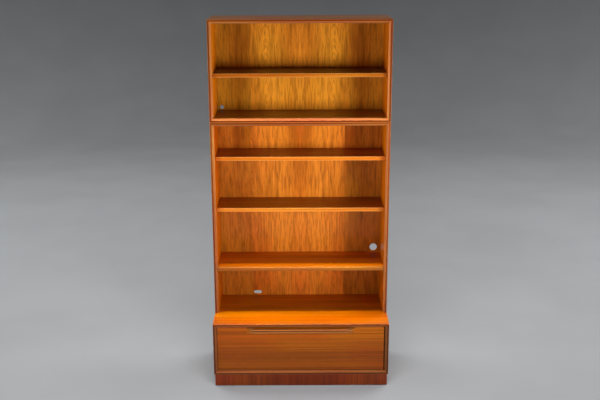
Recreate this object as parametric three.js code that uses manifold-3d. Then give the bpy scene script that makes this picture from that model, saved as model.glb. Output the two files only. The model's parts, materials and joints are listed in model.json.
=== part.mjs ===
// A teak bookcase of three stacked cases: a deep base cabinet on a plinth, with one wide drawer,
// and two shallower open cases with adjustable shelves on hidden wire supports.
// Millimetres. +X is to the right, +Y to the back and +Z up. The origin is on the floor, under the
// middle of the footprint.

import * as THREE from "three";
import { mergeVertices } from "three/addons/utils/BufferGeometryUtils.js";
import Module from "manifold-3d";

const wasm = await Module();
wasm.setup();

// ---------------------------------------------------------------------------------------------
// Driving dimensions
// ---------------------------------------------------------------------------------------------

const WIDTH = 900;
const HEIGHT = 1865;
const BASE_DEPTH = 432;
const CASE_DEPTH = 280; // both open cases
const BASE_TOP = 348; // top face of the base cabinet
const SEAM = 1362; // joint between the two open cases
const BOARD = 19; // thickness of every carcass board

// Solid front lippings: a flat band outside, a bevel inside.
const LIPPING_DEPTH = 20;
const LIPPING_FLAT = 10;
const BEVEL_DEPTH = 12;
const MITRE_GAP = 0.2;

// Back panels sit in a rebate, set in from the rear edges.
const PANEL = 6;
const PANEL_INSET = 9;
const REBATE = 8;
const PANEL_CLEARANCE = 0.5;

// Cable holes in the back panels: centre x and height above the floor.
const ROUND_HOLE = { x: 396, z: 623.5, radius: 20 };
const SLOT_HOLE = { x: -236, z: 364.5, radius: 9, length: 42 };
const SMALL_HOLE = { x: -408, z: 1396, radius: 10 };

// Shelves and the rows of holes for their wires.
const SHELF = 20;
const SHELF_END_GAP = 2;
const SHELF_REAR_GAP = 2;
const SHELF_LIPPING = 12;
const SHELF_EASING = 2;
const ROW_PITCH = 38.5;
const MIDDLE_ROWS = { first: 125.5, count: 22 }; // first row above the case's lower edge
const TOP_ROWS = { first: 114, count: 7 };
const MIDDLE_SHELVES = [
  { name: "shelf_lower", row: 3, setback: 9 },
  { name: "shelf_centre", row: 11, setback: 50 },
  { name: "shelf_upper", row: 18, setback: 50 },
];
const TOP_SHELVES = [{ name: "shelf_top", row: 3, setback: 35 }];

// Wire supports: a straight run in the shelf's kerf and a leg at each end, bent into the side.
const WIRE_RADIUS = 1.5;
const WIRE_FRONT = 80; // front leg, behind the case's front
const WIRE_SPAN = 155;
const WIRE_INSET = 4; // centre of the straight run, inside the shelf's end
const WIRE_BEND = 4;
const WIRE_HOLE = { radius: 2, depth: 9 };
const KERF = { depth: 9, height: 4, lead: 8 };

// Plinth and glides.
const GLIDE = { radius: 8, height: 3, inset: 9 };
const PLINTH_TOP = 69;
const PLINTH_BOARD = 18;
const PLINTH_SETBACK = 12;
const PLINTH_SIDE_INSET = 4;
const PLINTH_REAR_INSET = 10;

// Drawer.
const FRONT_BOARD = 20;
const FRONT_SETBACK = 13; // drawer face behind the lippings' face
const FRONT_GAP_SIDE = 3.5;
const FRONT_GAP_EDGE = 2;
const FRONT_SHIFT = -1.5; // the front hangs a little to the left in its opening
const BOX_SIDE = 12;
const BOX_GAP = 4; // between the drawer's sides and the cabinet's
const BOX_LOW = 100;
const BOX_HIGH = 300;
const BOX_REAR = 170;
const BOX_BACK_LOW = 114;
const BOX_BACK_HIGH = 290;
const BOTTOM_PANEL = 6;
const BOTTOM_LOW = 108;
const GROOVE = 5;
const GROOVE_CLEARANCE = 0.3;
const RUNNER = { low: 184, high: 196, front: -178, rear: 190, width: 9.5 };
const RUNNER_GROOVE = { low: 183, high: 197, depth: 6 };

// The pull is let into the drawer front's upper edge: a lip with a finger cove behind it.
const PULL_LENGTH = 552;
const PULL_TAPER = 48;
const PULL_LOW = 294;
const PULL_LET_IN = 14;
const PULL_FIT = 0.3;
// From the lower edge up over the lip and down into the cove: forward of the drawer's face, height.
const PULL_SECTION = [
  [0, 294], [2.2, 300], [5.4, 304.6], [9.2, 308.4], [11.6, 311.4], [12, 314.2], [10.6, 316.2],
  [8.2, 316.4], [6.4, 314.2], [4.6, 310.4], [1.6, 307.6], [-2.6, 306.8], [-6.6, 308.4],
  [-9.2, 312.4], [-10.2, 318], [-10.4, 326.2],
];

// Locating dowels between the cases.
const DOWEL_RADIUS = 4;
const DOWEL_CLEARANCE = 0.3;
const LOWER_DOWEL = { down: 10, up: 22 };
const UPPER_DOWEL = { down: 12, up: 12, x: 300 };

// ---------------------------------------------------------------------------------------------
// Derived places
// ---------------------------------------------------------------------------------------------

const HALF = WIDTH / 2;
const INNER = HALF - BOARD;
const REAR = BASE_DEPTH / 2;
const BASE_FRONT = -REAR;
const CASE_FRONT = REAR - CASE_DEPTH;
const PANEL_FACE = REAR - PANEL_INSET - PANEL;
const CASE_MIDDLE_Y = CASE_FRONT + CASE_DEPTH / 2;
const BASE_HEIGHT = BASE_TOP - PLINTH_TOP;
const FACE_Y = BASE_FRONT + FRONT_SETBACK;
const FACE_REAR = FACE_Y + FRONT_BOARD;
const FRONT_LOW = PLINTH_TOP + BOARD + FRONT_GAP_EDGE;
const FRONT_HIGH = BASE_TOP - BOARD - FRONT_GAP_EDGE;
const BOX_OUTER = INNER - BOX_GAP;
const BOX_INNER = BOX_OUTER - BOX_SIDE;

// ---------------------------------------------------------------------------------------------
// Finishes
// ---------------------------------------------------------------------------------------------

const FINISHES = {
  teak_veneer: { color: 0xb5671f, roughness: 0.42, metalness: 0 },
  teak_lipping: { color: 0xc77a35, roughness: 0.38, metalness: 0 },
  teak_back: { color: 0xb0641d, roughness: 0.48, metalness: 0 },
  teak_shelf: { color: 0xa85a1a, roughness: 0.4, metalness: 0 },
  teak_front: { color: 0x9a5218, roughness: 0.42, metalness: 0 },
  teak_pull: { color: 0xa4561f, roughness: 0.36, metalness: 0 },
  teak_plinth: { color: 0x6d3524, roughness: 0.5, metalness: 0 },
  drawer_box: { color: 0xcdae82, roughness: 0.6, metalness: 0 },
  plywood: { color: 0xc09a6c, roughness: 0.65, metalness: 0 },
  beech: { color: 0xd0a677, roughness: 0.6, metalness: 0 },
  steel: { color: 0xb8b8b4, roughness: 0.35, metalness: 1 },
  glide: { color: 0x8c8a85, roughness: 0.4, metalness: 1 },
};

function piece(name, finish, geometry) {
  const mesh = new THREE.Mesh(geometry, new THREE.MeshStandardMaterial(FINISHES[finish]));
  mesh.name = name;
  return mesh;
}

// ---------------------------------------------------------------------------------------------
// Shape tools
// ---------------------------------------------------------------------------------------------

function solidOf(geometry) {
  const bare = geometry.clone();
  bare.deleteAttribute("normal");
  bare.deleteAttribute("uv");
  const merged = mergeVertices(bare, 1e-4);
  return new wasm.Manifold(
    new wasm.Mesh({
      numProp: 3,
      vertProperties: merged.attributes.position.array,
      triVerts: new Uint32Array(merged.index.array),
    }),
  );
}

function geometryOf(solid) {
  const mesh = solid.getMesh();
  const geometry = new THREE.BufferGeometry();
  geometry.setAttribute("position", new THREE.BufferAttribute(mesh.vertProperties, 3));
  geometry.setIndex(new THREE.BufferAttribute(mesh.triVerts, 1));
  geometry.computeVertexNormals();
  return geometry;
}

function cut(geometry, cutters) {
  let solid = solidOf(geometry);
  for (const cutter of cutters) {
    solid = solid.subtract(solidOf(cutter));
  }
  return geometryOf(solid);
}

// A box between two limits on each axis.
function block([x0, x1], [y0, y1], [z0, z1]) {
  const box = new THREE.BoxGeometry(x1 - x0, y1 - y0, z1 - z0);
  return box.translate((x0 + x1) / 2, (y0 + y1) / 2, (z0 + z1) / 2);
}

// A round bar along one axis, centred on a point.
function bar(axis, radius, length, centre, sides) {
  const geometry = new THREE.CylinderGeometry(radius, radius, length, sides);
  if (axis === "x") geometry.rotateZ(Math.PI / 2);
  if (axis === "z") geometry.rotateX(Math.PI / 2);
  return geometry.translate(...centre);
}

function signedVolume(position, index) {
  const [a, b, c] = [new THREE.Vector3(), new THREE.Vector3(), new THREE.Vector3()];
  let sum = 0;
  for (let i = 0; i < index.length; i += 3) {
    a.fromBufferAttribute(position, index[i]);
    b.fromBufferAttribute(position, index[i + 1]);
    c.fromBufferAttribute(position, index[i + 2]);
    sum += a.dot(b.cross(c));
  }
  return sum / 6;
}

// A closed skin over rings of points. The outline gives one ring's shape in its own plane, which
// fills both ends.
function skin(outline, rings) {
  if (THREE.ShapeUtils.isClockWise(outline)) {
    outline = [...outline].reverse();
    rings = rings.map((ring) => [...ring].reverse());
  }
  const count = outline.length;
  const last = (rings.length - 1) * count;
  const index = [];
  for (let r = 0; r < last; r += count) {
    for (let i = 0; i < count; i++) {
      const j = (i + 1) % count;
      index.push(r + i, r + j, r + count + j);
      index.push(r + i, r + count + j, r + count + i);
    }
  }
  for (const [a, b, c] of THREE.ShapeUtils.triangulateShape(outline, [])) {
    index.push(c, b, a);
    index.push(last + a, last + b, last + c);
  }
  const geometry = new THREE.BufferGeometry().setFromPoints(rings.flat());
  if (signedVolume(geometry.attributes.position, index) < 0) index.reverse();
  geometry.setIndex(index);
  geometry.computeVertexNormals();
  return geometry;
}

// A straight member with a constant section between two ends. Each end places a section point, and
// is trimmed back by its own amount along the member.
function member(section, from, to, trimFrom = MITRE_GAP / 2, trimTo = MITRE_GAP / 2) {
  const start = section.map(from);
  const end = section.map(to);
  const along = end[0].clone().sub(start[0]).normalize();
  start.forEach((point) => point.addScaledVector(along, trimFrom));
  end.forEach((point) => point.addScaledVector(along, -trimTo));
  return skin(section, [start, end]);
}

const outlineOf = (points) => points.map(([u, v]) => new THREE.Vector2(u, v));

// ---------------------------------------------------------------------------------------------
// Carcass: four mitred boards, or three on an open bottom, each with a solid front lipping
// ---------------------------------------------------------------------------------------------

// Section points are (in from the case's outside face, front to back).
function boardSection(front) {
  return outlineOf([
    [0, front + LIPPING_DEPTH],
    [BOARD, front + LIPPING_DEPTH],
    [BOARD, PANEL_FACE],
    [BOARD - REBATE, PANEL_FACE],
    [BOARD - REBATE, REAR],
    [0, REAR],
  ]);
}

function lippingSection(front) {
  return outlineOf([
    [0, front],
    [LIPPING_FLAT, front],
    [BOARD, front + BEVEL_DEPTH],
    [BOARD, front + LIPPING_DEPTH],
    [0, front + LIPPING_DEPTH],
  ]);
}

// Places section points at a corner of a case that stands on z = 0.
function corner(side, high, height, mitred = true) {
  return (p) => {
    const inward = mitred ? p.x : 0;
    return new THREE.Vector3(side * (HALF - p.x), p.y, high ? height - inward : inward);
  };
}

function carcassMembers(label, finish, section, height, openBottom) {
  const topLeft = corner(-1, true, height);
  const topRight = corner(1, true, height);
  const lowLeft = corner(-1, false, height, !openBottom);
  const lowRight = corner(1, false, height, !openBottom);
  const footTrim = openBottom ? 0 : MITRE_GAP / 2;
  const members = {
    left: member(section, lowLeft, topLeft, footTrim),
    right: member(section, lowRight, topRight, footTrim),
    top: member(section, topLeft, topRight),
  };
  if (!openBottom) members.bottom = member(section, lowLeft, lowRight);
  return Object.entries(members).map(([where, geometry]) => piece(label(where), finish, geometry));
}

function backPanel(name, height, openBottom, holes) {
  const reach = INNER + REBATE - PANEL_CLEARANCE;
  const margin = BOARD - REBATE + PANEL_CLEARANCE;
  const panel = block(
    [-reach, reach],
    [PANEL_FACE, PANEL_FACE + PANEL],
    [openBottom ? 0 : margin, height - margin],
  );
  return piece(name, "teak_back", cut(panel, holes));
}

function roundHole({ x, z, radius }, floor) {
  return bar("y", radius, 3 * PANEL, [x, PANEL_FACE, z - floor], 32);
}

function slotHole({ x, z, radius, length }, floor) {
  const run = length / 2 - radius;
  const shape = new THREE.Shape();
  shape.absarc(run, 0, radius, -Math.PI / 2, Math.PI / 2);
  shape.absarc(-run, 0, radius, Math.PI / 2, (3 * Math.PI) / 2);
  const geometry = new THREE.ExtrudeGeometry(shape, {
    depth: 3 * PANEL,
    bevelEnabled: false,
    curveSegments: 10,
  });
  return geometry.rotateX(Math.PI / 2).translate(x, PANEL_FACE + 2 * PANEL, z - floor);
}

// The rows of blind holes that take the wires' legs, in both side boards.
function wireHoles(side, rows) {
  const overrun = 1;
  const length = WIRE_HOLE.depth + overrun;
  const x = side * (INNER + WIRE_HOLE.depth - length / 2);
  const front = CASE_FRONT + WIRE_FRONT;
  const holes = [];
  for (let row = 0; row < rows.count; row++) {
    for (const y of [front, front + WIRE_SPAN]) {
      const z = rows.first + row * ROW_PITCH;
      holes.push(bar("x", WIRE_HOLE.radius, length, [x, y, z], 8));
    }
  }
  return holes;
}

function drill(meshes, name, cutters) {
  const mesh = meshes.find((one) => one.name === name);
  mesh.geometry = cut(mesh.geometry, cutters);
}

// ---------------------------------------------------------------------------------------------
// Shelves on wires
// ---------------------------------------------------------------------------------------------

function shelfBoard(front) {
  const end = INNER - SHELF_END_GAP;
  const rear = PANEL_FACE - SHELF_REAR_GAP;
  const board = block([-end, end], [front + SHELF_LIPPING, rear], [-SHELF / 2, SHELF / 2]);
  const kerfs = [-1, 1].map((side) =>
    block(
      [side * end - KERF.depth, side * end + KERF.depth],
      [CASE_FRONT + WIRE_FRONT - KERF.lead, rear + 1],
      [-KERF.height / 2, KERF.height / 2],
    ),
  );
  return cut(board, kerfs);
}

function shelfLipping(front) {
  const end = INNER - SHELF_END_GAP;
  const half = SHELF / 2;
  const section = outlineOf([
    [front, SHELF_EASING - half],
    [front + SHELF_EASING, -half],
    [front + SHELF_LIPPING, -half],
    [front + SHELF_LIPPING, half],
    [front + SHELF_EASING, half],
    [front, half - SHELF_EASING],
  ]);
  const at = (x) => (p) => new THREE.Vector3(x, p.x, p.y);
  return member(section, at(-end), at(end), 0, 0);
}

// A rod bent in its own horizontal plane: stations are places with the way the rod runs there.
function bentRod(stations, radius, sides) {
  const circle = Array.from({ length: sides }, (_, i) => {
    const angle = (i / sides) * 2 * Math.PI;
    return new THREE.Vector2(radius * Math.cos(angle), radius * Math.sin(angle));
  });
  const rings = stations.map(({ place, heading }) => {
    const across = new THREE.Vector3(Math.sin(heading), -Math.cos(heading), 0);
    return circle.map((p) => place.clone().addScaledVector(across, p.x).setZ(place.z + p.y));
  });
  return skin(circle, rings);
}

// A support for a shelf's right end, centred on its straight run: legs point to +X.
function wireSupport() {
  const leg = WIRE_INSET + SHELF_END_GAP + WIRE_HOLE.depth - 1;
  const half = WIRE_SPAN / 2;
  const bendSteps = 3;
  const stations = [];
  const add = (x, y, heading) => stations.push({ place: new THREE.Vector3(x, y, 0), heading });
  add(leg, -half, Math.PI);
  for (let i = 0; i <= bendSteps; i++) {
    const turn = (i / bendSteps) * (Math.PI / 2);
    const x = WIRE_BEND * (1 - Math.sin(turn));
    const y = -half + WIRE_BEND * (1 - Math.cos(turn));
    add(x, y, Math.PI - turn);
  }
  for (let i = 0; i <= bendSteps; i++) {
    const turn = (i / bendSteps) * (Math.PI / 2);
    const x = WIRE_BEND * (1 - Math.cos(turn));
    const y = half - WIRE_BEND * (1 - Math.sin(turn));
    add(x, y, Math.PI / 2 - turn);
  }
  add(leg, half, 0);
  return bentRod(stations, WIRE_RADIUS, 6);
}

function shelfUnit({ name, row, setback }, rows) {
  const unit = new THREE.Group();
  unit.position.z = rows.first + row * ROW_PITCH;
  const front = CASE_FRONT + setback;
  unit.add(piece(name + "_board", "teak_shelf", shelfBoard(front)));
  unit.add(piece(name + "_lipping", "teak_lipping", shelfLipping(front)));
  for (const [where, side] of [["left", -1], ["right", 1]]) {
    const wire = piece(name + "_wire_" + where, "steel", wireSupport());
    wire.position.x = side * (INNER - SHELF_END_GAP - WIRE_INSET);
    wire.position.y = CASE_FRONT + WIRE_FRONT + WIRE_SPAN / 2;
    if (side < 0) wire.rotation.z = Math.PI;
    unit.add(wire);
  }
  return unit;
}

// ---------------------------------------------------------------------------------------------
// Dowels
// ---------------------------------------------------------------------------------------------

function dowel(name, x, { down, up }) {
  const length = down + up - 2 * DOWEL_CLEARANCE;
  const radius = DOWEL_RADIUS - DOWEL_CLEARANCE;
  const mesh = piece(name, "beech", bar("z", radius, length, [0, 0, 0], 12));
  mesh.position.set(x, CASE_MIDDLE_Y, (up - down) / 2);
  return mesh;
}

// The hole for a dowel that crosses z = 0, in a piece that ends there.
function dowelHole(x, { down, up }, level = 0) {
  return bar("z", DOWEL_RADIUS, down + up, [x, CASE_MIDDLE_Y, level + (up - down) / 2], 12);
}

const lowerDowelX = HALF - BOARD / 2;

// ---------------------------------------------------------------------------------------------
// Base cabinet
// ---------------------------------------------------------------------------------------------

function baseCabinet() {
  const group = new THREE.Group();
  group.position.z = PLINTH_TOP;
  const names = {
    left: "base_side_left",
    right: "base_side_right",
    top: "base_top",
    bottom: "base_bottom",
  };
  const board = boardSection(BASE_FRONT);
  const boards = carcassMembers((w) => names[w], "teak_veneer", board, BASE_HEIGHT, false);
  for (const side of [-1, 1]) {
    const hole = dowelHole(side * lowerDowelX, LOWER_DOWEL, BASE_HEIGHT);
    drill(boards, "base_top", [hole]);
    drill(boards, side < 0 ? "base_side_left" : "base_side_right", [hole]);
  }
  const lipping = lippingSection(BASE_FRONT);
  group.add(...boards);
  group.add(
    ...carcassMembers((w) => "base_lipping_" + w, "teak_lipping", lipping, BASE_HEIGHT, false),
  );
  group.add(backPanel("base_back_panel", BASE_HEIGHT, false, []));
  return group;
}

function plinth() {
  const group = new THREE.Group();
  const outer = HALF - PLINTH_SIDE_INSET;
  const front = BASE_FRONT + PLINTH_SETBACK;
  const behind = front + PLINTH_BOARD;
  const rear = REAR - PLINTH_REAR_INSET;
  const height = [GLIDE.height, PLINTH_TOP];
  const frontBoard = block([-outer, outer], [front, behind], height);
  group.add(piece("plinth_front", "teak_plinth", frontBoard));
  for (const [where, side] of [["left", -1], ["right", 1]]) {
    const x = [side * outer, side * (outer - PLINTH_BOARD)].sort((a, b) => a - b);
    group.add(piece("plinth_" + where, "teak_plinth", block(x, [behind, rear], height)));
    for (const [end, y] of [["front", front + GLIDE.inset], ["rear", rear - GLIDE.inset]]) {
      const glide = bar("z", GLIDE.radius, GLIDE.height, [0, 0, 0], 16);
      const mesh = piece("glide_" + end + "_" + where, "glide", glide);
      mesh.position.set(side * (outer - GLIDE.inset), y, GLIDE.height / 2);
      group.add(mesh);
    }
  }
  return group;
}

// ---------------------------------------------------------------------------------------------
// Drawer
// ---------------------------------------------------------------------------------------------

function drawerFront() {
  const half = INNER - FRONT_GAP_SIDE;
  const front = block([-half, half], [FACE_Y, FACE_REAR], [FRONT_LOW, FRONT_HIGH]);
  front.translate(FRONT_SHIFT, 0, 0);
  const pullRecess = block(
    [-PULL_LENGTH / 2 - PULL_FIT, PULL_LENGTH / 2 + PULL_FIT],
    [FACE_Y - 1, FACE_Y + PULL_LET_IN],
    [PULL_LOW - PULL_FIT, FRONT_HIGH + 1],
  );
  const bottomGroove = block(
    [-BOX_INNER - GROOVE, BOX_INNER + GROOVE],
    [FACE_REAR - GROOVE, FACE_REAR + 1],
    [BOTTOM_LOW - GROOVE_CLEARANCE, BOTTOM_LOW + BOTTOM_PANEL + GROOVE_CLEARANCE],
  );
  return cut(front, [pullRecess, bottomGroove]);
}

// The lip rises from nothing at each end: share is 0 at the tip and 1 along the straight part.
function pullSection(share) {
  const steps = PULL_SECTION.length - 1;
  const [low, high] = [PULL_SECTION[0][1], PULL_SECTION[steps][1]];
  const shaped = PULL_SECTION.map(([forward, height], i) => {
    const flatHeight = low + ((high - low) * i) / steps;
    return new THREE.Vector2(forward * share, THREE.MathUtils.lerp(flatHeight, height, share));
  });
  const rear = -PULL_LET_IN + PULL_FIT;
  return [...shaped, new THREE.Vector2(rear, high), new THREE.Vector2(rear, low)];
}

function drawerPull() {
  const taperSteps = 8;
  const half = PULL_LENGTH / 2;
  const tips = Array.from({ length: taperSteps + 1 }, (_, i) => i / taperSteps);
  const stations = [
    ...tips.map((t) => [-half + PULL_TAPER * t, t]),
    ...tips.reverse().map((t) => [half - PULL_TAPER * t, t]),
  ];
  const rings = stations.map(([x, t]) =>
    pullSection(THREE.MathUtils.smoothstep(t, 0, 1)).map(
      (p) => new THREE.Vector3(x, FACE_Y - p.x, p.y),
    ),
  );
  return skin(pullSection(1), rings);
}

function drawerSide(side) {
  const ordered = (a, b) => [Math.min(a, b), Math.max(a, b)];
  const wall = block(
    ordered(side * BOX_INNER, side * BOX_OUTER),
    [FACE_REAR, BOX_REAR],
    [BOX_LOW, BOX_HIGH],
  );
  const runnerGroove = block(
    ordered(side * (BOX_OUTER - RUNNER_GROOVE.depth), side * (BOX_OUTER + 1)),
    [FACE_REAR - 1, BOX_REAR + 1],
    [RUNNER_GROOVE.low, RUNNER_GROOVE.high],
  );
  const bottomGroove = block(
    ordered(side * (BOX_INNER - 1), side * (BOX_INNER + GROOVE)),
    [FACE_REAR - 1, BOX_REAR + 1],
    [BOTTOM_LOW - GROOVE_CLEARANCE, BOTTOM_LOW + BOTTOM_PANEL + GROOVE_CLEARANCE],
  );
  return cut(wall, [runnerGroove, bottomGroove]);
}

function drawer() {
  const group = new THREE.Group();
  const reach = BOX_INNER + GROOVE - GROOVE_CLEARANCE;
  const bottom = block(
    [-reach, reach],
    [FACE_REAR - GROOVE + GROOVE_CLEARANCE, BOX_REAR],
    [BOTTOM_LOW, BOTTOM_LOW + BOTTOM_PANEL],
  );
  const back = block(
    [-BOX_INNER, BOX_INNER],
    [BOX_REAR - BOX_SIDE, BOX_REAR],
    [BOX_BACK_LOW, BOX_BACK_HIGH],
  );
  group.add(piece("drawer_front", "teak_front", drawerFront()));
  group.add(piece("drawer_pull", "teak_pull", drawerPull()));
  group.add(piece("drawer_side_left", "drawer_box", drawerSide(-1)));
  group.add(piece("drawer_side_right", "drawer_box", drawerSide(1)));
  group.add(piece("drawer_back", "drawer_box", back));
  group.add(piece("drawer_bottom", "plywood", bottom));
  return group;
}

function drawerRunners() {
  const group = new THREE.Group();
  for (const [where, side] of [["left", -1], ["right", 1]]) {
    const x = [side * INNER, side * (INNER - RUNNER.width)].sort((a, b) => a - b);
    const strip = block(x, [RUNNER.front, RUNNER.rear], [RUNNER.low, RUNNER.high]);
    group.add(piece("drawer_runner_" + where, "beech", strip));
  }
  return group;
}

// ---------------------------------------------------------------------------------------------
// Open cases
// ---------------------------------------------------------------------------------------------

function openCase({ name, floor, height, rows, shelves, openBottom, panelHoles, holes }) {
  const group = new THREE.Group();
  group.position.z = floor;
  const isSide = (where) => where === "left" || where === "right";
  const label = (where) => name + (isSide(where) ? "_side_" : "_") + where;
  const board = boardSection(CASE_FRONT);
  const boards = carcassMembers(label, "teak_veneer", board, height, openBottom);
  drill(boards, label("left"), wireHoles(-1, rows));
  drill(boards, label("right"), wireHoles(1, rows));
  for (const [where, cutters] of Object.entries(holes)) {
    drill(boards, label(where), cutters);
  }
  const lipping = lippingSection(CASE_FRONT);
  group.add(...boards);
  group.add(
    ...carcassMembers((w) => name + "_lipping_" + w, "teak_lipping", lipping, height, openBottom),
  );
  group.add(backPanel(name + "_back_panel", height, openBottom, panelHoles));
  group.add(...shelves.map((shelf) => shelfUnit(shelf, rows)));
  return group;
}

function middleCase() {
  const height = SEAM - BASE_TOP;
  const group = openCase({
    name: "middle",
    floor: BASE_TOP,
    height,
    rows: MIDDLE_ROWS,
    shelves: MIDDLE_SHELVES,
    openBottom: true,
    panelHoles: [roundHole(ROUND_HOLE, BASE_TOP), slotHole(SLOT_HOLE, BASE_TOP)],
    holes: {
      left: [dowelHole(-lowerDowelX, LOWER_DOWEL)],
      right: [dowelHole(lowerDowelX, LOWER_DOWEL)],
      top: [
        dowelHole(-UPPER_DOWEL.x, UPPER_DOWEL, height),
        dowelHole(UPPER_DOWEL.x, UPPER_DOWEL, height),
      ],
    },
  });
  group.add(dowel("dowel_lower_left", -lowerDowelX, LOWER_DOWEL));
  group.add(dowel("dowel_lower_right", lowerDowelX, LOWER_DOWEL));
  return group;
}

function topCase() {
  const group = openCase({
    name: "top",
    floor: SEAM,
    height: HEIGHT - SEAM,
    rows: TOP_ROWS,
    shelves: TOP_SHELVES,
    openBottom: false,
    panelHoles: [roundHole(SMALL_HOLE, SEAM)],
    holes: {
      bottom: [
        dowelHole(-UPPER_DOWEL.x, UPPER_DOWEL),
        dowelHole(UPPER_DOWEL.x, UPPER_DOWEL),
      ],
    },
  });
  group.add(dowel("dowel_upper_left", -UPPER_DOWEL.x, UPPER_DOWEL));
  group.add(dowel("dowel_upper_right", UPPER_DOWEL.x, UPPER_DOWEL));
  return group;
}

const bookcase = new THREE.Group();
bookcase.add(plinth(), baseCabinet(), drawerRunners(), drawer(), middleCase(), topCase());

export default bookcase;
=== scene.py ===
"""The looks of a teak bookcase: three stacked cases, four shelves on hidden wires and one wide drawer.

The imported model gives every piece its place. Each wooden piece is copied from it, its arrises are
eased, and each corner is told where it lay in the tree, so that one timber figure runs right through
the piece. Metres, +X to the right, +Y to the back and +Z up.
"""

import json
import math
import random

import bmesh
import bpy
from mathutils import Matrix, Vector

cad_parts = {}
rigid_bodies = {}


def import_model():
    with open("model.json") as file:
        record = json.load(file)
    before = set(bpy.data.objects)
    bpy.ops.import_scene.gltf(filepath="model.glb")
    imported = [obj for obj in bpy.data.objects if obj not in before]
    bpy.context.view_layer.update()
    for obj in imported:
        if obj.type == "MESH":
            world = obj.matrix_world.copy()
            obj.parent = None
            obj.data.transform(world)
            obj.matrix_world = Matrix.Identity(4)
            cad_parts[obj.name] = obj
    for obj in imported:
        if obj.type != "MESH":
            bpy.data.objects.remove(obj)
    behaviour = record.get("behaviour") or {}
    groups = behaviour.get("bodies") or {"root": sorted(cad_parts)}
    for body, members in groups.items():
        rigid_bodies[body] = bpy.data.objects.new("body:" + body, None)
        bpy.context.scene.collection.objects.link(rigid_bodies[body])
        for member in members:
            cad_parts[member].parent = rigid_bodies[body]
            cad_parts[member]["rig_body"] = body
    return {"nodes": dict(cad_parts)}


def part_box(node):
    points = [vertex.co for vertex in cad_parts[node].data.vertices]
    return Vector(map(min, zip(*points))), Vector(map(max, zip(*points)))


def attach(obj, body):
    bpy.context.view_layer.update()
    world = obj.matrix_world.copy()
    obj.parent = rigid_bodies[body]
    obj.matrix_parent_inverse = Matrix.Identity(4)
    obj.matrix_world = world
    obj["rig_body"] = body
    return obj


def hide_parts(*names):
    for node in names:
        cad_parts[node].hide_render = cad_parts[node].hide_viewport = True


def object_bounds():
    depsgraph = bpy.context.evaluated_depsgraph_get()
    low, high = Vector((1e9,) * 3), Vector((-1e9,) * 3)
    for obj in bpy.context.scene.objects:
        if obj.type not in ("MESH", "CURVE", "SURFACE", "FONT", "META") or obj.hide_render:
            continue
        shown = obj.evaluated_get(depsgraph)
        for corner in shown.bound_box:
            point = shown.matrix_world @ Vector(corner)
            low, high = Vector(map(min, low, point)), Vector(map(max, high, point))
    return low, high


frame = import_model()
CAD_LOW, CAD_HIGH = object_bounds()

X = Vector((1, 0, 0))
Y = Vector((0, 1, 0))
Z = Vector((0, 0, 1))
MM = 0.001

# The camera stands in front of the case and looks slightly down.
CAMERA_DISTANCE = 4.3286  # in front of the base cabinet
CAMERA_HEIGHT = 2.2042
CAMERA_ASIDE = -0.0067
CAMERA_PITCH = math.radians(15.477)
CAMERA_YAW = math.radians(0.056)
CAMERA_ROLL = math.radians(-0.206)
CAMERA_LENS = 54.965

# Soft lights: place, the point each one faces, width and height, spread in degrees, power in watts.
LIGHTS = {
    "ledge_strip": ((0.0, -0.2, 2.8), (0, -0.17, 0.35), (0.92, 0.04), 14, 1.95),
    "left_softbox": ((-1.95, -2.35, 1.2), (0, 0, 1.2), (1.0, 0.8), 48, 4.0),
    "right_softbox": ((1.95, -2.35, 1.2), (0, 0, 1.2), (1.0, 0.8), 48, 7.0),
    "floor_softbox": ((0.0, -2.2, 3.0), (0, -0.5, 0), (2.5, 1.5), 120, 88),
    "left_strip": ((-2.6, -0.5, 1.4), (0, -0.2, 1.35), (0.5, 1.1), 60, 5.5),
    "right_strip": ((2.6, -0.5, 1.4), (0, -0.2, 1.35), (0.5, 1.1), 60, 7),
    "left_room_softbox": ((-4.0, 2.2, 4.6), (-3.6, 2.2, 0), (3.5, 5.0), 170, 320),
    "right_room_softbox": ((4.0, 2.2, 4.6), (3.6, 2.2, 0), (3.5, 5.0), 170, 320),
}
# Only the room softboxes show in polished wood. The ledge strip lights everything except the floor, so
# that it leaves no pool there, and the floor softbox lights the floor alone.
GLARE = ("left_room_softbox", "right_room_softbox")
FLOOR_LINKS = {"ledge_strip": "EXCLUDE", "floor_softbox": "INCLUDE"}
WORLD_COLOUR = (0.05, 0.051, 0.053)

# The seamless floor: flat in the middle, sweeping up all round, far from the object.
FLOOR_RADIUS = 6.0
SWEEP_RADIUS = 4.0
SWEEP_TOP = 9.0

ARRIS = 0.8 * MM  # how far a machine-sanded arris is eased
WELD = 0.01 * MM
FLAT_ANGLE = math.radians(0.5)
SHARP_ANGLE = math.radians(35)
SQUARE = 0.95  # a face is square to the case when its normal leans this much along one axis


# ---------------------------------------------------------------------------------------------
# Shader nodes
# ---------------------------------------------------------------------------------------------


def srgb(red, green, blue):
    """A display colour, 0 to 255, as the linear colour that a shader takes."""

    def linear(value):
        share = value / 255
        if share <= 0.04045:
            return share / 12.92
        return ((share + 0.055) / 1.055) ** 2.4

    return (linear(red), linear(green), linear(blue), 1)


def add_node(tree, kind, inputs, **settings):
    """A node with its settings, its constants and its links. A socket given as an input is linked."""
    node = tree.nodes.new(kind)
    for name, value in settings.items():
        setattr(node, name, value)
    for name, value in inputs.items():
        if isinstance(value, bpy.types.NodeSocket):
            tree.links.new(value, node.inputs[name])
        else:
            node.inputs[name].default_value = value
    return node


def calc(tree, operation, first, second=0.0):
    node = add_node(tree, "ShaderNodeMath", {0: first, 1: second}, operation=operation)
    return node.outputs[0]


def vector_calc(tree, operation, first, second):
    inputs = {0: first, 1: second}
    node = add_node(tree, "ShaderNodeVectorMath", inputs, operation=operation)
    return node.outputs["Value" if operation == "LENGTH" else "Vector"]


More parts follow.
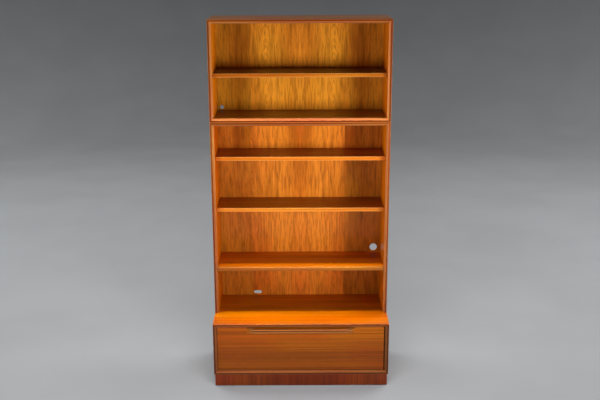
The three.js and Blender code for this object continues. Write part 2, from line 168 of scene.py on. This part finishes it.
def ramp(tree, value, low, high, to_low=0.0, to_high=1.0):
    """value, smoothly mapped so that low gives to_low and high gives to_high."""
    inputs = {"Value": value, "From Min": low, "From Max": high, "To Min": to_low, "To Max": to_high}
    node = add_node(tree, "ShaderNodeMapRange", inputs, interpolation_type="SMOOTHSTEP")
    return node.outputs["Result"]


def blend_colours(tree, share, first, second):
    inputs = {"Factor": share, 6: first, 7: second}
    node = add_node(tree, "ShaderNodeMix", inputs, data_type="RGBA")
    return node.outputs[2]


def attribute(tree, name, output):
    return add_node(tree, "ShaderNodeAttribute", {}, attribute_name=name).outputs[output]


def grain_noise(tree, place, frequency, detail=2.0, roughness=0.5, output="Fac"):
    """Noise drawn out along the grain: frequency is along, across and through, per metre."""
    stretched = vector_calc(tree, "MULTIPLY", place, frequency)
    inputs = {"Vector": stretched, "Scale": 1.0, "Detail": detail, "Roughness": roughness}
    return add_node(tree, "ShaderNodeTexNoise", inputs).outputs[output]


def new_material(name, **constants):
    """A material with one Principled shader, and its node tree."""
    material = bpy.data.materials.new(name)
    material.use_nodes = True
    tree = material.node_tree
    tree.nodes.clear()
    shader = add_node(tree, "ShaderNodeBsdfPrincipled", constants)
    add_node(tree, "ShaderNodeOutputMaterial", {"Surface": shader.outputs["BSDF"]})
    return material, tree, shader


def drive(tree, shader, **sockets):
    """Links node results to the shader: colour, roughness and, through a bump node, height."""
    tree.links.new(sockets["colour"], shader.inputs["Base Color"])
    tree.links.new(sockets["roughness"], shader.inputs["Roughness"])
    inputs = {
        "Height": sockets["height"],
        "Strength": sockets["strength"],
        "Distance": sockets["depth"],
    }
    bump = add_node(tree, "ShaderNodeBump", inputs)
    tree.links.new(bump.outputs["Normal"], shader.inputs["Normal"])


# ---------------------------------------------------------------------------------------------
# Materials
# ---------------------------------------------------------------------------------------------


def growth_rings(tree, wood, spacing, wander):
    """Dark late-wood lines at each growth ring, some stronger than others, from 0 to 1."""
    slow = grain_noise(tree, wood, (0.9, 8, 8), output="Color")
    centred = vector_calc(tree, "SUBTRACT", slow, (0.5, 0.5, 0.5))
    shift = vector_calc(tree, "MULTIPLY", centred, (0, wander, wander))
    place = vector_calc(tree, "ADD", wood, shift)
    section = vector_calc(tree, "MULTIPLY", place, (0, 1, 1))
    radius = vector_calc(tree, "LENGTH", section, (0, 0, 0))
    jitter = calc(tree, "MULTIPLY", grain_noise(tree, wood, (2, 60, 60)), 0.25)
    turns = calc(tree, "ADD", calc(tree, "DIVIDE", radius, spacing), jitter)
    year = calc(tree, "FRACT", turns)
    late = ramp(tree, year, 0.35, 0.9)
    after = ramp(tree, year, 0.9, 1.0, 1.0, 0.0)
    inputs = {"W": calc(tree, "FLOOR", turns)}
    lottery = add_node(tree, "ShaderNodeTexWhiteNoise", inputs, noise_dimensions="1D")
    strength = ramp(tree, lottery.outputs["Value"], 0.0, 1.0, 0.25, 1.0)
    return calc(tree, "MULTIPLY", calc(tree, "MULTIPLY", late, after), strength)


def wood_marks(tree, wood, look):
    """How much each kind of mark in the wood covers its ground colour, and the fibres themselves."""
    rings = growth_rings(tree, wood, look["spacing"], look["wander"])
    streaks = grain_noise(tree, wood, (0.4, 45, 45), detail=2)
    fibres = grain_noise(tree, wood, (0.6, 130, 130), detail=3, roughness=0.6)
    figure = grain_noise(tree, wood, (22, 45, 45), detail=3, roughness=0.6)
    pores = ramp(tree, grain_noise(tree, wood, (60, 1500, 1500), detail=1), 0.6, 0.72)
    shares = {
        "streaks": ramp(tree, streaks, 0.42, 0.72),
        "rings": rings,
        "fibres": ramp(tree, fibres, 0.45, 0.65),
        "figure": ramp(tree, figure, 0.5, 0.68),
        "pores": pores,
        "worn": attribute(tree, "arris", "Fac"),
    }
    marks = {name: calc(tree, "MULTIPLY", share, look[name]) for name, share in shares.items()}
    return marks, shares, fibres


def wood_colour(tree, wood, pale, body, dark, marks):
    """The ground colour under its marks, then shifted by the board's own tint: its hue, value and
    saturation. The hue also drifts a little along the board."""
    clouds = grain_noise(tree, wood, (0.9, 7, 7), detail=3)
    colour = blend_colours(tree, ramp(tree, clouds, 0.3, 0.7), pale, body)
    coats = {"streaks": dark, "rings": dark, "fibres": dark, "figure": pale, "pores": dark, "worn": pale}
    for name, coat in coats.items():
        colour = blend_colours(tree, marks[name], colour, coat)
    drift = ramp(tree, grain_noise(tree, wood, (2, 5, 5), detail=2), 0.3, 0.7, 0.495, 0.505)
    tint = attribute(tree, "tint", "Vector")
    shift = add_node(tree, "ShaderNodeSeparateXYZ", {"Vector": tint})
    inputs = {
        "Color": colour,
        "Hue": calc(tree, "ADD", drift, shift.outputs["X"]),
        "Value": calc(tree, "ADD", 1.0, shift.outputs["Y"]),
        "Saturation": calc(tree, "ADD", 1.0, shift.outputs["Z"]),
    }
    return add_node(tree, "ShaderNodeHueSaturation", inputs).outputs["Color"]


def wood_roughness(tree, wood, roughness, shares):
    """Handling dulls the polish unevenly, pores are open, and arrises are rubbed smooth."""
    handling = grain_noise(tree, wood, (5, 9, 9), detail=3)
    rough = ramp(tree, handling, 0.3, 0.7, roughness - 0.05, roughness + 0.05)
    rough = calc(tree, "ADD", rough, calc(tree, "MULTIPLY", shares["pores"], 0.15))
    return calc(tree, "SUBTRACT", rough, calc(tree, "MULTIPLY", shares["worn"], 0.06))


def timber(name, pale, body, dark, **look):
    """Wood whose figure follows each corner's place in its tree. The look holds the ring spacing,
    how far the rings wander, how strongly each kind of mark shows, and the polish."""
    constants = {
        "Specular IOR Level": look["specular"],
        "Coat Weight": look["coat"],
        "Coat Roughness": look["coat_roughness"],
    }
    material, tree, shader = new_material(name, **constants)
    wood = attribute(tree, "wood", "Vector")
    marks, shares, fibres = wood_marks(tree, wood, look)
    drive(
        tree,
        shader,
        colour=wood_colour(tree, wood, pale, body, dark, marks),
        roughness=wood_roughness(tree, wood, look["roughness"], shares),
        height=calc(tree, "SUBTRACT", calc(tree, "MULTIPLY", fibres, 0.5), shares["pores"]),
        strength=look["relief"],
        depth=0.12 * MM,
    )
    return material


TEAK = {
    "spacing": 3.2 * MM,
    "wander": 4 * MM,
    "rings": 0.4,
    "streaks": 0.3,
    "fibres": 0.4,
    "figure": 0.1,
    "pores": 0.35,
    "worn": 0.5,
    "roughness": 0.4,
    "specular": 0.25,
    "coat": 0.2,
    "coat_roughness": 0.16,
    "relief": 0.35,
}


def teak(name, pale, body, dark, **changes):
    """Teak of a given colour, with the usual look or changes to it."""
    return timber(name, pale, body, dark, **{**TEAK, **changes})


def metal(name, colour, roughness):
    """Drawn or pressed steel with a faint, uneven dulling."""
    material, tree, shader = new_material(name, Metallic=1.0)
    coordinates = add_node(tree, "ShaderNodeTexCoord", {}).outputs["Object"]
    inputs = {"Vector": coordinates, "Scale": 260.0, "Detail": 4.0}
    dulling = add_node(tree, "ShaderNodeTexNoise", inputs).outputs["Fac"]
    worn = tuple(0.6 * value for value in colour[:3]) + (1,)
    drive(
        tree,
        shader,
        colour=blend_colours(tree, ramp(tree, dulling, 0.35, 0.75), colour, worn),
        roughness=ramp(tree, dulling, 0.3, 0.7, roughness, roughness + 0.2),
        height=dulling,
        strength=0.15,
        depth=0.05 * MM,
    )
    return material


def paper_floor():
    """A pale painted studio floor, slightly cloudy, which carries on up as the backdrop."""
    material, tree, shader = new_material("studio_floor")
    coordinates = add_node(tree, "ShaderNodeTexCoord", {}).outputs["Object"]
    inputs = {"Vector": coordinates, "Scale": 1.6, "Detail": 5.0, "Roughness": 0.6}
    clouds = add_node(tree, "ShaderNodeTexNoise", inputs).outputs["Fac"]
    low = srgb(128, 130, 132)
    high = srgb(131, 133, 135)
    drive(
        tree,
        shader,
        colour=blend_colours(tree, ramp(tree, clouds, 0.35, 0.65), low, high),
        roughness=ramp(tree, clouds, 0.3, 0.7, 0.62, 0.68),
        height=clouds,
        strength=0.03,
        depth=1 * MM,
    )
    return material


MATERIALS = {
    "teak_carcass_veneer": teak(
        "teak_carcass_veneer", srgb(230, 126, 2), srgb(200, 95, 1), srgb(112, 44, 0)
    ),
    "teak_lipping": teak(
        "teak_lipping",
        srgb(152, 79, 22),
        srgb(131, 57, 11),
        srgb(79, 23, 3),
        spacing=2.2 * MM,
        rings=0.35,
        roughness=0.38,
        coat=0.15,
    ),
    "teak_back_veneer": teak(
        "teak_back_veneer",
        srgb(238, 135, 42),
        srgb(200, 101, 26),
        srgb(108, 45, 10),
        spacing=3.8 * MM,
        wander=3 * MM,
        rings=0.42,
        streaks=0.35,
        fibres=0.42,
        figure=0.06,
        roughness=0.46,
    ),
    "teak_shelf_veneer": teak(
        "teak_shelf_veneer", srgb(168, 86, 1), srgb(143, 64, 1), srgb(78, 27, 0)
    ),
    "teak_front_veneer": teak(
        "teak_front_veneer",
        srgb(227, 112, 2),
        srgb(195, 87, 1),
        srgb(108, 41, 0),
        spacing=8 * MM,
        rings=0.5,
        coat=0.1,
    ),
    "teak_pull": teak(
        "teak_pull",
        srgb(227, 118, 14),
        srgb(195, 87, 4),
        srgb(108, 41, 1),
        spacing=2.2 * MM,
        roughness=0.45,
        coat=0.05,
    ),
    "plinth_teak": teak(
        "plinth_teak",
        srgb(162, 68, 16),
        srgb(133, 53, 12),
        srgb(78, 26, 6),
        roughness=0.5,
    ),
    "drawer_box": timber(
        "drawer_box",
        srgb(222, 196, 152),
        srgb(206, 174, 126),
        srgb(164, 126, 80),
        **{**TEAK, "rings": 0.25, "pores": 0.15, "roughness": 0.6, "coat": 0.0, "spacing": 4 * MM},
    ),
    "drawer_plywood": timber(
        "drawer_plywood",
        srgb(206, 170, 122),
        srgb(188, 148, 100),
        srgb(146, 104, 64),
        **{**TEAK, "rings": 0.35, "roughness": 0.66, "coat": 0.0, "spacing": 5 * MM},
    ),
    "back_plywood": timber(
        "back_plywood",
        srgb(200, 146, 92),
        srgb(178, 122, 72),
        srgb(124, 76, 40),
        **{**TEAK, "rings": 0.3, "roughness": 0.62, "coat": 0.0, "spacing": 4 * MM},
    ),
    "beech": timber(
        "beech",
        srgb(220, 178, 132),
        srgb(204, 158, 112),
        srgb(168, 116, 74),
        **{**TEAK, "rings": 0.15, "pores": 0.5, "roughness": 0.6, "coat": 0.0},
    ),
    "support_wire": metal("support_wire", (0.62, 0.62, 0.60, 1), 0.28),
    "glide": metal("glide", (0.48, 0.47, 0.45, 1), 0.35),
}


# ---------------------------------------------------------------------------------------------
# Mesh tools
# ---------------------------------------------------------------------------------------------


def copy_of(node):
    """A node's solid as an editable mesh, with its flat faces whole again."""
    bm = bmesh.new()
    bm.from_mesh(frame["nodes"][node].data)
    bmesh.ops.remove_doubles(bm, verts=bm.verts[:], dist=WELD)
    bmesh.ops.dissolve_limit(
        bm, angle_limit=FLAT_ANGLE, verts=bm.verts[:], edges=bm.edges[:]
    )
    for layer in list(bm.loops.layers.uv):
        bm.loops.layers.uv.remove(layer)
    bm.normal_update()
    return bm


def arrises(bm, along=None, shortest=15 * MM):
    """The outer corners of a solid that are long enough to sand, all or only those along an axis."""
    found = []
    for edge in bm.edges:
        if len(edge.link_faces) != 2 or edge.calc_length() < shortest:
            continue
        if edge.calc_face_angle_signed() < math.radians(20):
            continue
        direction = (edge.verts[1].co - edge.verts[0].co).normalized()
        if along is None or abs(direction.dot(along)) > 0.99:
            found.append(edge)
    return found


def ease(bm, edges, size=ARRIS, steps=2):
    """Rounds edges off, and marks the new narrow faces as arris."""
    layer = bm.faces.layers.float.new("arris")
    if not edges:
        return
    made = bmesh.ops.bevel(
        bm,
        geom=edges,
        offset=size,
        offset_type="OFFSET",
        segments=steps,
        profile=0.5,
        affect="EDGES",
        clamp_overlap=True,
    )
    for face in made["faces"]:
        face[layer] = 1.0
    bm.normal_update()


# A change of tint is a shift of hue, value and saturation, in that order.
# Bevels are also made yellower and greyer, as part of their painted highlight.
BEVEL_HIGHLIGHT_HUE = 0.012
BEVEL_HIGHLIGHT_SATURATION = -0.08


def lay_grain(bm, node, grain, face, pith_depth, pith_aside=0.0, lean=0.0, **shades):
    """Tells each corner where it lay in the tree: along the grain, and aside and out from the pith.
    A lean makes the board cut slowly through the rings, which draws long arches on its face."""
    lottery = random.Random(node)
    start = lottery.uniform(0, 30)
    across = grain.cross(face)
    middle = sum((v.co for v in bm.verts), Vector()) / len(bm.verts)
    wood = bm.loops.layers.float_vector.new("wood")
    for polygon in bm.faces:
        for loop in polygon.loops:
            place = loop.vert.co - middle
            along = place.dot(grain)
            outward = pith_depth + place.dot(face) + lean * along
            loop[wood] = (start + along, pith_aside + place.dot(across), outward)
    tint_faces(bm, lottery, face, **shades)


def tint_faces(bm, lottery, face, hue=0.0, tone=0.0, bevel=0.0, outer=None):
    """Hue and tone are how much yellower and lighter a board is than its finish, and chance adds
    more. Its bevels are lighter still by bevel, as a painted highlight, and outer is the change on the
    face itself."""
    shade = bm.faces.layers.float_vector.new("tint")
    chance = Vector((lottery.uniform(-0.002, 0.002), lottery.uniform(-0.05, 0.05), 0))
    tint = chance + Vector((hue, tone, 0))
    for polygon in bm.faces:
        # Faces that are not square to the case count as bevels and take the bevels' painted highlight.
        square = max(abs(value) for value in polygon.normal) > SQUARE
        change = (0, 0, 0) if square else (BEVEL_HIGHLIGHT_HUE, bevel, BEVEL_HIGHLIGHT_SATURATION)
        if outer and polygon.normal.dot(face) > SQUARE:
            change = outer
        polygon[shade] = tint + Vector(change)


def new_piece(bm, name, node, materials):
    """Makes the mesh into a piece that stands for a node and rides on that node's body."""
    mesh = bpy.data.meshes.new(name)
    bm.to_mesh(mesh)
    bm.free()
    for slot in materials:
        mesh.materials.append(MATERIALS[slot])
    mesh.shade_smooth()
    mesh.set_sharp_from_angle(angle=SHARP_ANGLE)
    piece = bpy.data.objects.new(name, mesh)
    bpy.context.scene.collection.objects.link(piece)
    weighted = piece.modifiers.new("even_shading", "WEIGHTED_NORMAL")
    weighted.keep_sharp = True
    return stand_for(piece, node)


def stand_for(piece, node):
    """Ties a piece to the node that it stands for: it rides on the node's body, and the node is hidden.
    """
    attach(piece, frame["nodes"][node]["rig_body"])
    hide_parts(node)
    return piece


def board(node, slot, grain, face, eased=None, **cut):
    """A plain board: arrises eased along one axis or all round, and its grain laid."""
    bm = copy_of(node)
    ease(bm, arrises(bm, eased))
    lay_grain(bm, node, grain, face, **cut)
    return new_piece(bm, node + "_wood", node, [slot])


# ---------------------------------------------------------------------------------------------
# Carcasses
# ---------------------------------------------------------------------------------------------

CASES = {"base": ("top", "bottom"), "middle": ("top",), "top": ("top", "bottom")}
SIDES = {"left": -1, "right": 1}
OUTSIDE_TINT = (0.012, -0.3, -0.1)

# How much lighter a board or a lipping is than its finish, and its bevels than the rest of it. These
# differences are larger than in a real timber: they also stand in for uneven light on the cases.
TONES = {
    "top_top": -0.3,
    "top_bottom": -0.6,
    "middle_top": -0.2,
    "base_top": -0.24,
    "top_lipping_top": 0.25,
    "top_lipping_bottom": -0.1,
    "base_lipping_top": 0.6,
    "base_lipping_bottom": 0.2,
}
# On most lippings the bevels are painted lighter by this much, as a painted highlight, and on these by
# more.
LIPPING_BEVEL_HIGHLIGHT = 0.85
BEVEL_HIGHLIGHTS = {
    "top_lipping_left": 1.2,
    "top_lipping_right": 1.5,
    "top_lipping_bottom": 2.9,
    "base_lipping_bottom": 2.9,
}


def carcass_boards():
    """Veneered boards: upright grain on the sides, level grain on tops and bottoms."""
    for case, levels in CASES.items():
        for side, direction in SIDES.items():
            node = f"{case}_side_{side}"
            cut = {"pith_depth": 0.09, "lean": 0.05, "outer": OUTSIDE_TINT}
            board(node, "teak_carcass_veneer", Z, direction * X, Z, **cut)
        for level in levels:
            node = f"{case}_{level}"
            cut = {"pith_depth": 0.06, "pith_aside": 0.3, "tone": TONES.get(node, 0.0)}
            if node == "top_top":
                cut["outer"] = OUTSIDE_TINT
            board(node, "teak_carcass_veneer", X, Z, X, **cut)


def lippings():
    """Solid, nearly quarter-sawn strips, so that their lines run straight."""
    for case, levels in CASES.items():
        for where in (*SIDES, *levels):
            grain = Z if where in SIDES else X
            node = f"{case}_lipping_{where}"
            tone = TONES.get(node, 0.0)
            bevel = BEVEL_HIGHLIGHTS.get(node, LIPPING_BEVEL_HIGHLIGHT)
            cut = {"pith_depth": 0.05, "pith_aside": 0.14, "tone": tone, "bevel": bevel}
            board(node, "teak_lipping", grain, -Y, grain, **cut)


# Each back panel is laid up from leaves of veneer, from left to right. A leaf reaches from the last
# joint to its own. It has the place of its arches' middle, whether it is turned over, how far up the
# tree it starts, and its tint.
# The darker tints of the outer leaves, left and right on the middle case and left on the top case, are
# painted shadows that the side boards cast on the backs, and those joints lie at the shadows' edges.
BACK_LEAVES = {
    "base": [
        (0.0, -0.3, False, 2.0, (0, 0, 0)),
        (0.5, 0.3, True, 2.0, (0, 0, 0)),
    ],
    "middle": [
        (-0.262, -0.60, False, 3.0, (0.006, -0.12, 0)),
        (0.0, -0.27, False, 8.0, (0, 0.0, 0)),
        (0.235, 0.27, True, 8.0, (0, 0.03, 0)),
        (0.5, 0.55, False, 12.0, (0.003, -0.26, 0)),
    ],
    "top": [
        (-0.255, -0.52, True, 21.0, (0.018, -0.16, 0)),
        (0.0, -0.175, False, 17.0, (0.014, 0.05, 0)),
        (0.255, 0.175, True, 17.0, (0.014, 0.05, 0)),
        (0.5, 0.52, False, 21.0, (0.014, 0.0, 0)),
    ],
}
CROWN_DEPTH = 5 * MM  # how far the foot of a leaf is from the pith
CROWN_LEAN = 0.105


def back_panel(case):
    """A thin panel with veneer leaves in front, a plain rear face and bare plywood round its holes."""
    node = case + "_back_panel"
    bm = copy_of(node)
    leaves = BACK_LEAVES[case]
    for joint, *_ in leaves[:-1]:
        geometry = bm.verts[:] + bm.edges[:] + bm.faces[:]
        bmesh.ops.bisect_plane(bm, geom=geometry, plane_co=(joint, 0, 0), plane_no=X)
    low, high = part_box(node)
    wood = bm.loops.layers.float_vector.new("wood")
    shade = bm.faces.layers.float_vector.new("tint")
    bm.faces.layers.float.new("arris")
    for polygon in bm.faces:
        centre = polygon.calc_center_median()
        leaf = next(one for one in leaves if centre.x <= one[0])
        _, crown, turned, start, tint = leaf
        veneered = polygon.normal.y < -0.5
        # A leaf's tint holds the painted shadow on the outer leaves.
        polygon[shade] = tint if veneered else (0, 0, 0)
        polygon.material_index = 0 if veneered else 1
        for loop in polygon.loops:
            place = loop.vert.co
            aside = (crown - place.x) if turned else (place.x - crown)
            up = place.z - low.z
            loop[wood] = (start + up, aside, CROWN_DEPTH + CROWN_LEAN * up + place.y - low.y)
    new_piece(bm, node + "_leaves", node, ["teak_back_veneer", "back_plywood"])


# ---------------------------------------------------------------------------------------------
# Shelves
# ---------------------------------------------------------------------------------------------

# How much lighter than its finish each shelf's board and its lipping are, which again stands in for
# uneven light: the top shelf's board is the darkest, and the lippings catch the most.
SHELVES = {"lower": (1.0, 0.7), "centre": (0.0, 2.0), "upper": (0.0, 2.5), "top": (-0.75, 1.3)}
WIRE_BEND = 4 * MM
WIRE_SEGMENTS = 6


def shelf(where):
    """A veneered board with a solid, round-edged front lipping, on two wires."""
    name = "shelf_" + where
    board_tone, lipping_tone = SHELVES[where]
    cut = {"pith_depth": 0.06, "pith_aside": 0.3, "tone": board_tone}
    board(name + "_board", "teak_shelf_veneer", X, Z, X, **cut)
    bm = copy_of(name + "_lipping")
    ease(bm, arrises(bm), size=0.9 * MM, steps=3)
    cut = {"pith_depth": 0.04, "pith_aside": 0.12, "hue": 0.012, "tone": lipping_tone}
    lay_grain(bm, name + "_lipping", X, -Y, **cut)
    new_piece(bm, name + "_lipping_wood", name + "_lipping", ["teak_lipping"])
    for side, direction in SIDES.items():
        wire(f"{name}_wire_{side}", direction)


def wire(node, direction):
    """A round steel wire: a straight run with a leg bent outward at each end."""
    low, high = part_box(node)
    radius = (high.z - low.z) / 2
    level = (high.z + low.z) / 2
    inner = low.x + radius if direction > 0 else high.x - radius
    outer = high.x if direction > 0 else low.x
    front = low.y + radius
    rear = high.y - radius
    points = [(outer, front)]
    for step in range(WIRE_SEGMENTS + 1):
        turn = step / WIRE_SEGMENTS * math.pi / 2
        aside = inner + direction * WIRE_BEND * (1 - math.sin(turn))
        points.append((aside, front + WIRE_BEND * (1 - math.cos(turn))))
    points += [(x, front + rear - y) for x, y in reversed(points)]
    curve = bpy.data.curves.new(node + "_rod", "CURVE")
    curve.dimensions = "3D"
    curve.bevel_depth = radius
    curve.bevel_resolution = 4
    curve.use_fill_caps = True
    spline = curve.splines.new("POLY")
    spline.points.add(len(points) - 1)
    for point, (x, y) in zip(spline.points, points):
        point.co = (x, y, level, 1)
    curve.materials.append(MATERIALS["support_wire"])
    rod = bpy.data.objects.new(node + "_rod", curve)
    bpy.context.scene.collection.objects.link(rod)
    stand_for(rod, node)


# ---------------------------------------------------------------------------------------------
# Drawer
# ---------------------------------------------------------------------------------------------


def drawer():
    """The front, the box behind it and the runners that stay on the cabinet's sides."""
    cut = {"pith_depth": 0.05, "pith_aside": 0.22, "tone": 0.12}
    board("drawer_front", "teak_front_veneer", X, -Y, **cut)
    for side, direction in SIDES.items():
        board(f"drawer_side_{side}", "drawer_box", Y, direction * X, pith_depth=0.06, lean=0.05)
        board(f"drawer_runner_{side}", "beech", Y, direction * X, pith_depth=0.05)
    board("drawer_back", "drawer_box", X, Y, pith_depth=0.07, lean=0.04)
    board("drawer_bottom", "drawer_plywood", X, Z, pith_depth=0.06, lean=0.06)
    pull()


# The crest's upward faces are painted much lighter, a painted highlight, and marked as a worn arris.
# The overhang under it is painted darker, a painted shade, and so is the cove behind.
CREST_FORWARD = 5 * MM
CREST_HIGHLIGHT_TINT = Vector((-0.006, 1.7, -0.06))
UNDERSIDE_SHADE_TINT = Vector((-0.012, -0.25, 0))
APRON_TINT = Vector((0, 0.3, 0))
COVE_SHADE_TINT = Vector((0, -0.3, 0))
CARVED_EDGE = math.radians(50)  # edges at least this sharp stay crisp


def carved(node):
    """A node's solid with its section and tapered ends subdivided to a smooth carving."""
    bm = copy_of(node)
    crease = bm.edges.layers.float.new("crease_edge")
    for edge in bm.edges:
        if edge.calc_face_angle(0) > CARVED_EDGE:
            edge[crease] = 1.0
    rough_mesh = bpy.data.meshes.new("rough_carving")
    bm.to_mesh(rough_mesh)
    bm.free()
    rough = bpy.data.objects.new("rough_carving", rough_mesh)
    bpy.context.scene.collection.objects.link(rough)
    smoothing = rough.modifiers.new("carving", "SUBSURF")
    smoothing.levels = 2
    smoothing.use_limit_surface = False
    evaluated = rough.evaluated_get(bpy.context.evaluated_depsgraph_get())
    bm = bmesh.new()
    bm.from_mesh(evaluated.to_mesh())
    bpy.data.objects.remove(rough)
    bm.normal_update()
    return bm


def pull():
    """The carved lip pull. Its apron runs into the drawer's front below the crest."""
    node = "drawer_pull"
    bm = carved(node)
    arris = bm.faces.layers.float.new("arris")
    lay_grain(bm, node, X, -Y, pith_depth=0.06, pith_aside=0.09)
    shade = bm.faces.layers.float_vector["tint"]
    face_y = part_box("drawer_front")[0].y
    for polygon in bm.faces:
        forward = face_y - polygon.calc_center_median().y
        facing_up = max(0.0, polygon.normal.z)
        # Upward crest faces get the painted highlight, and the underside and the cove get painted shade.
        if forward > CREST_FORWARD:
            polygon[arris] = facing_up
            change = CREST_HIGHLIGHT_TINT * facing_up if facing_up else UNDERSIDE_SHADE_TINT
        else:
            change = COVE_SHADE_TINT if forward < 0 else APRON_TINT
        polygon[shade] = polygon[shade] + change
    new_piece(bm, node + "_carved", node, ["teak_pull"])


# ---------------------------------------------------------------------------------------------
# Plinth, glides and dowels
# ---------------------------------------------------------------------------------------------


def plinth():
    """A board in front, one on each side and a nail glide at each of the four ends."""
    cut = {"pith_depth": 0.05, "pith_aside": 0.9, "tone": 0.8}
    board("plinth_front", "plinth_teak", Z, -Y, **cut)
    for side, direction in SIDES.items():
        board(f"plinth_{side}", "plinth_teak", Y, direction * X, pith_depth=0.08, lean=0.02)
        for end in ("front", "rear"):
            glide(f"glide_{end}_{side}")


def turned(node, profile, spokes):
    """A solid turned round an upright axis, from (radius, height) points up from its foot."""
    low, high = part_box(node)
    centre = (low + high) / 2
    bm = bmesh.new()
    rings = []
    for radius, height in profile:
        ring = []
        for spoke in range(spokes):
            angle = spoke / spokes * 2 * math.pi
            reach = Vector((math.cos(angle), math.sin(angle), 0)) * radius
            ring.append(bm.verts.new(Vector((centre.x, centre.y, low.z + height)) + reach))
        rings.append(ring)
    for lower, upper in zip(rings, rings[1:]):
        for spoke in range(spokes):
            after = (spoke + 1) % spokes
            bm.faces.new((lower[spoke], lower[after], upper[after], upper[spoke]))
    bm.faces.new(reversed(rings[0]))
    bm.faces.new(rings[-1])
    return bm


def glide(node):
    """A domed nail glide: its rounded head rests on the floor."""
    low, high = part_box(node)
    radius = (high.x - low.x) / 2
    height = high.z - low.z
    steps = 6
    profile = []
    for step in range(steps + 1):
        turn = step / steps * math.pi / 2
        profile.append((radius * (0.55 + 0.45 * math.sin(turn)), height * (1 - math.cos(turn))))
    new_piece(turned(node, profile, 32), node + "_dome", node, ["glide"])


def dowel(node):
    """A beech dowel with chamfered ends."""
    low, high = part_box(node)
    radius = (high.x - low.x) / 2
    length = high.z - low.z
    chamfer = 1 * MM
    profile = [
        (radius - chamfer, 0),
        (radius, chamfer),
        (radius, length - chamfer),
        (radius - chamfer, length),
    ]
    bm = turned(node, profile, 24)
    bm.faces.layers.float.new("arris")
    lay_grain(bm, node, Z, X, pith_depth=0.04)
    new_piece(bm, node + "_peg", node, ["beech"])


# ---------------------------------------------------------------------------------------------
# Stage, lights and camera
# ---------------------------------------------------------------------------------------------


def floor():
    """A round seamless floor, whose rim sweeps up as the backdrop on every side."""
    profile = [(0.0, 0.0), (FLOOR_RADIUS, 0.0)]
    steps = 12
    for step in range(1, steps + 1):
        turn = step / steps * math.pi / 2
        out = FLOOR_RADIUS + SWEEP_RADIUS * math.sin(turn)
        profile.append((out, SWEEP_RADIUS * (1 - math.cos(turn))))
    profile.append((FLOOR_RADIUS + SWEEP_RADIUS, SWEEP_TOP))
    bm = bmesh.new()
    line = [bm.verts.new((out, 0, height)) for out, height in profile]
    edges = [bm.edges.new(pair) for pair in zip(line, line[1:])]
    bmesh.ops.spin(
        bm, geom=line + edges, cent=(0, 0, 0), axis=(0, 0, 1), steps=96, angle=2 * math.pi
    )
    bmesh.ops.remove_doubles(bm, verts=bm.verts[:], dist=1 * MM)
    bmesh.ops.recalc_face_normals(bm, faces=bm.faces[:])
    mesh = bpy.data.meshes.new("studio_floor")
    bm.to_mesh(mesh)
    bm.free()
    mesh.materials.append(paper_floor())
    mesh.shade_smooth()
    backdrop = bpy.data.objects.new("studio_floor", mesh)
    bpy.context.scene.collection.objects.link(backdrop)
    return backdrop


def link_floor(lamp, backdrop, state):
    """Makes a lamp light the floor alone, or everything except the floor."""
    receivers = bpy.data.collections.new(lamp.name + "_receivers")
    receivers.objects.link(backdrop)
    lamp.light_linking.receiver_collection = receivers
    receivers.collection_objects[0].light_linking.link_state = state


def lights(backdrop):
    """The studio's area lights, unseen by the camera, and a dim, even world."""
    for name, (place, target, (width, height), spread, power) in LIGHTS.items():
        data = bpy.data.lights.new(name, "AREA")
        data.shape = "RECTANGLE"
        data.size = width
        data.size_y = height
        data.energy = power
        data.spread = math.radians(spread)
        lamp = bpy.data.objects.new(name, data)
        lamp.location = place
        facing = Vector(target) - Vector(place)
        lamp.rotation_mode = "QUATERNION"
        lamp.rotation_quaternion = facing.to_track_quat("-Z", "Y")
        lamp.visible_camera = False
        lamp.visible_glossy = name in GLARE
        bpy.context.scene.collection.objects.link(lamp)
        if name in FLOOR_LINKS:
            link_floor(lamp, backdrop, FLOOR_LINKS[name])
    world = bpy.data.worlds.new("studio")
    world.use_nodes = True
    world.node_tree.nodes["Background"].inputs["Color"].default_value = (*WORLD_COLOUR, 1)
    bpy.context.scene.world = world


def camera():
    """The camera at the photograph's viewing angle."""
    data = bpy.data.cameras.new("camera")
    data.lens = CAMERA_LENS
    eye = bpy.data.objects.new("camera", data)
    place = Matrix.Translation((CAMERA_ASIDE, CAD_LOW.y - CAMERA_DISTANCE, CAMERA_HEIGHT))
    heading = Matrix.Rotation(-CAMERA_YAW, 4, "Z")
    tilt = Matrix.Rotation(math.pi / 2 - CAMERA_PITCH, 4, "X")
    roll = Matrix.Rotation(CAMERA_ROLL, 4, "Z")
    eye.matrix_world = place @ heading @ tilt @ roll
    bpy.context.scene.collection.objects.link(eye)
    bpy.context.scene.camera = eye


camera()
lights(floor())
carcass_boards()
lippings()
for case_name in CASES:
    back_panel(case_name)
for shelf_name in SHELVES:
    shelf(shelf_name)
drawer()
plinth()
for dowel_name in ("lower_left", "lower_right", "upper_left", "upper_right"):
    dowel("dowel_" + dowel_name)
bpy.context.scene.view_settings.view_transform = "Standard"
